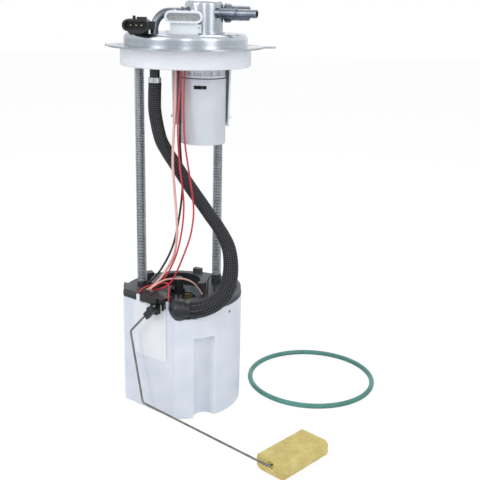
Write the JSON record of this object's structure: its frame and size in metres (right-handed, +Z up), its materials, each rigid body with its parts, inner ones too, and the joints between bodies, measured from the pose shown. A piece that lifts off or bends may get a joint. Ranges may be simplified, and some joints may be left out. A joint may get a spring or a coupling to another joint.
{
  "type": "fuel pump module",
  "caption": "Tank fuel-pump module: steel flange with fittings over a sprung sliding reservoir that holds the pump, with a float level sender and its tank seal.",
  "frame": {"origin": "centre of the flange's underside, where it sits on the tank", "axes": "+Z up along the spigot's axis, +X to the side the two line fittings point, -Y to the side with the connectors"},
  "size_m": [0.2984, 0.292, 0.425],
  "materials": {
    "plated_steel": "satin zinc plating",
    "coated_tube": "satin blue-grey coating",
    "rod_steel": "bright drawn steel",
    "spring_steel": "dull spring wire",
    "wire_steel": "dull drawn wire",
    "white_plastic": "opaque white moulding",
    "milky_plastic": "translucent milky moulding",
    "pale_plastic": "pale grey moulding",
    "dark_plastic": "dark grey moulding",
    "black_plastic": "black moulding",
    "braid": "black braided sleeve",
    "rubber": "black rubber",
    "seal_rubber": "dull green rubber",
    "red_cover": "red wire cover",
    "pink_cover": "pink wire cover",
    "black_cover": "black wire cover",
    "terminal_brass": "tinned brass",
    "magnet": "dark sintered magnet",
    "rotor": "copper windings on a steel core",
    "cast_metal": "die-cast",
    "filter_paper": "pleated filter paper",
    "ceramic": "glazed ceramic card",
    "foam": "closed-cell foam, yellow-tan"
  },
  "bodies": {
    "head": {"flange_cover": "plated_steel", "top_can": "plated_steel", "fuel_outlet_fitting": "coated_tube", "vapour_fitting": "coated_tube", "crossover_tube": "coated_tube", "pressure_sensor": "black_plastic", "sensor_terminals": "terminal_brass", "sensor_seal": "rubber", "harness_connector": "white_plastic", "connector_terminals": "terminal_brass", "flange_spigot": "white_plastic", "guide_rod_left": "rod_steel", "guide_rod_right": "rod_steel", "rod_stop_clips": "spring_steel", "spring_left": "spring_steel", "spring_right": "spring_steel", "hose_stub": "black_plastic", "hose_clamp": "rod_steel", "fuel_hose": "braid", "valve_bracket": "milky_plastic", "vent_valve_body": "pale_plastic", "vent_valve_cap": "white_plastic", "vent_valve_gasket": "rubber", "red_pump_wire": "red_cover", "red_sender_wire": "red_cover", "pink_wire": "pink_cover", "black_wire": "black_cover"},
    "reservoir": {"reservoir_cup": "milky_plastic", "reservoir_lid": "dark_plastic", "outlet_elbow": "black_plastic", "pump_shell": "rod_steel", "pump_end_cap": "black_plastic", "pump_terminals": "terminal_brass", "pump_magnets": "magnet", "pump_inlet_cap": "cast_metal", "pump_upper_plate": "cast_metal", "pump_brushes": "magnet", "pump_isolator": "rubber", "pump_strainer": "filter_paper", "foot_valve": "rubber", "filter_housing": "black_plastic", "filter_element": "filter_paper", "pressure_regulator": "rod_steel", "sender_plate": "white_plastic", "sender_body": "black_plastic", "resistor_card": "ceramic", "pink_link_wire": "pink_cover", "red_link_wire": "red_cover"},
    "rotor": {"armature": "rotor", "impeller": "black_plastic"},
    "arm": {"arm_hub": "black_plastic", "float_arm": "wire_steel"},
    "float": {"float": "foam"},
    "valve_float": {"vent_valve_float": "white_plastic"},
    "seal": {"tank_seal": "seal_rubber"}
  },
  "joints": [
    {"name": "reservoir_slide", "type": "slide", "parent": "head", "child": "reservoir", "axis": [0, 0, 1], "range_m": [0, 0.04], "stiffness_N_per_m": 300, "springref_m": -0.05, "deforming": ["spring_left", "spring_right", "fuel_hose", "red_pump_wire", "red_sender_wire", "pink_wire", "black_wire"]},
    {"name": "float_arm_swing", "type": "hinge", "parent": "reservoir", "child": "arm", "pos_m": [-0.03045, -0.05764, -0.2595], "axis": [-0.6198, -0.7848, 0], "range_deg": [0, 80]},
    {"name": "float_turn", "type": "hinge", "parent": "arm", "child": "float", "pos_m": [0.11265, -0.14584, -0.3673], "axis": [0.6858, 0.7278, 0], "continuous": true},
    {"name": "rotor_spin", "type": "hinge", "parent": "reservoir", "child": "rotor", "pos_m": [-0.007, -0.005, -0.31], "axis": [0, 0, 1], "continuous": true},
    {"name": "valve_float_lift", "type": "slide", "parent": "head", "child": "valve_float", "axis": [0, 0, 1], "range_m": [0, 0.004]},
    {"name": "seal_lift", "type": "slide", "parent": "reservoir", "child": "seal", "axis": [0, 0, 1], "range_m": [0, 0.05]}
  ]
}
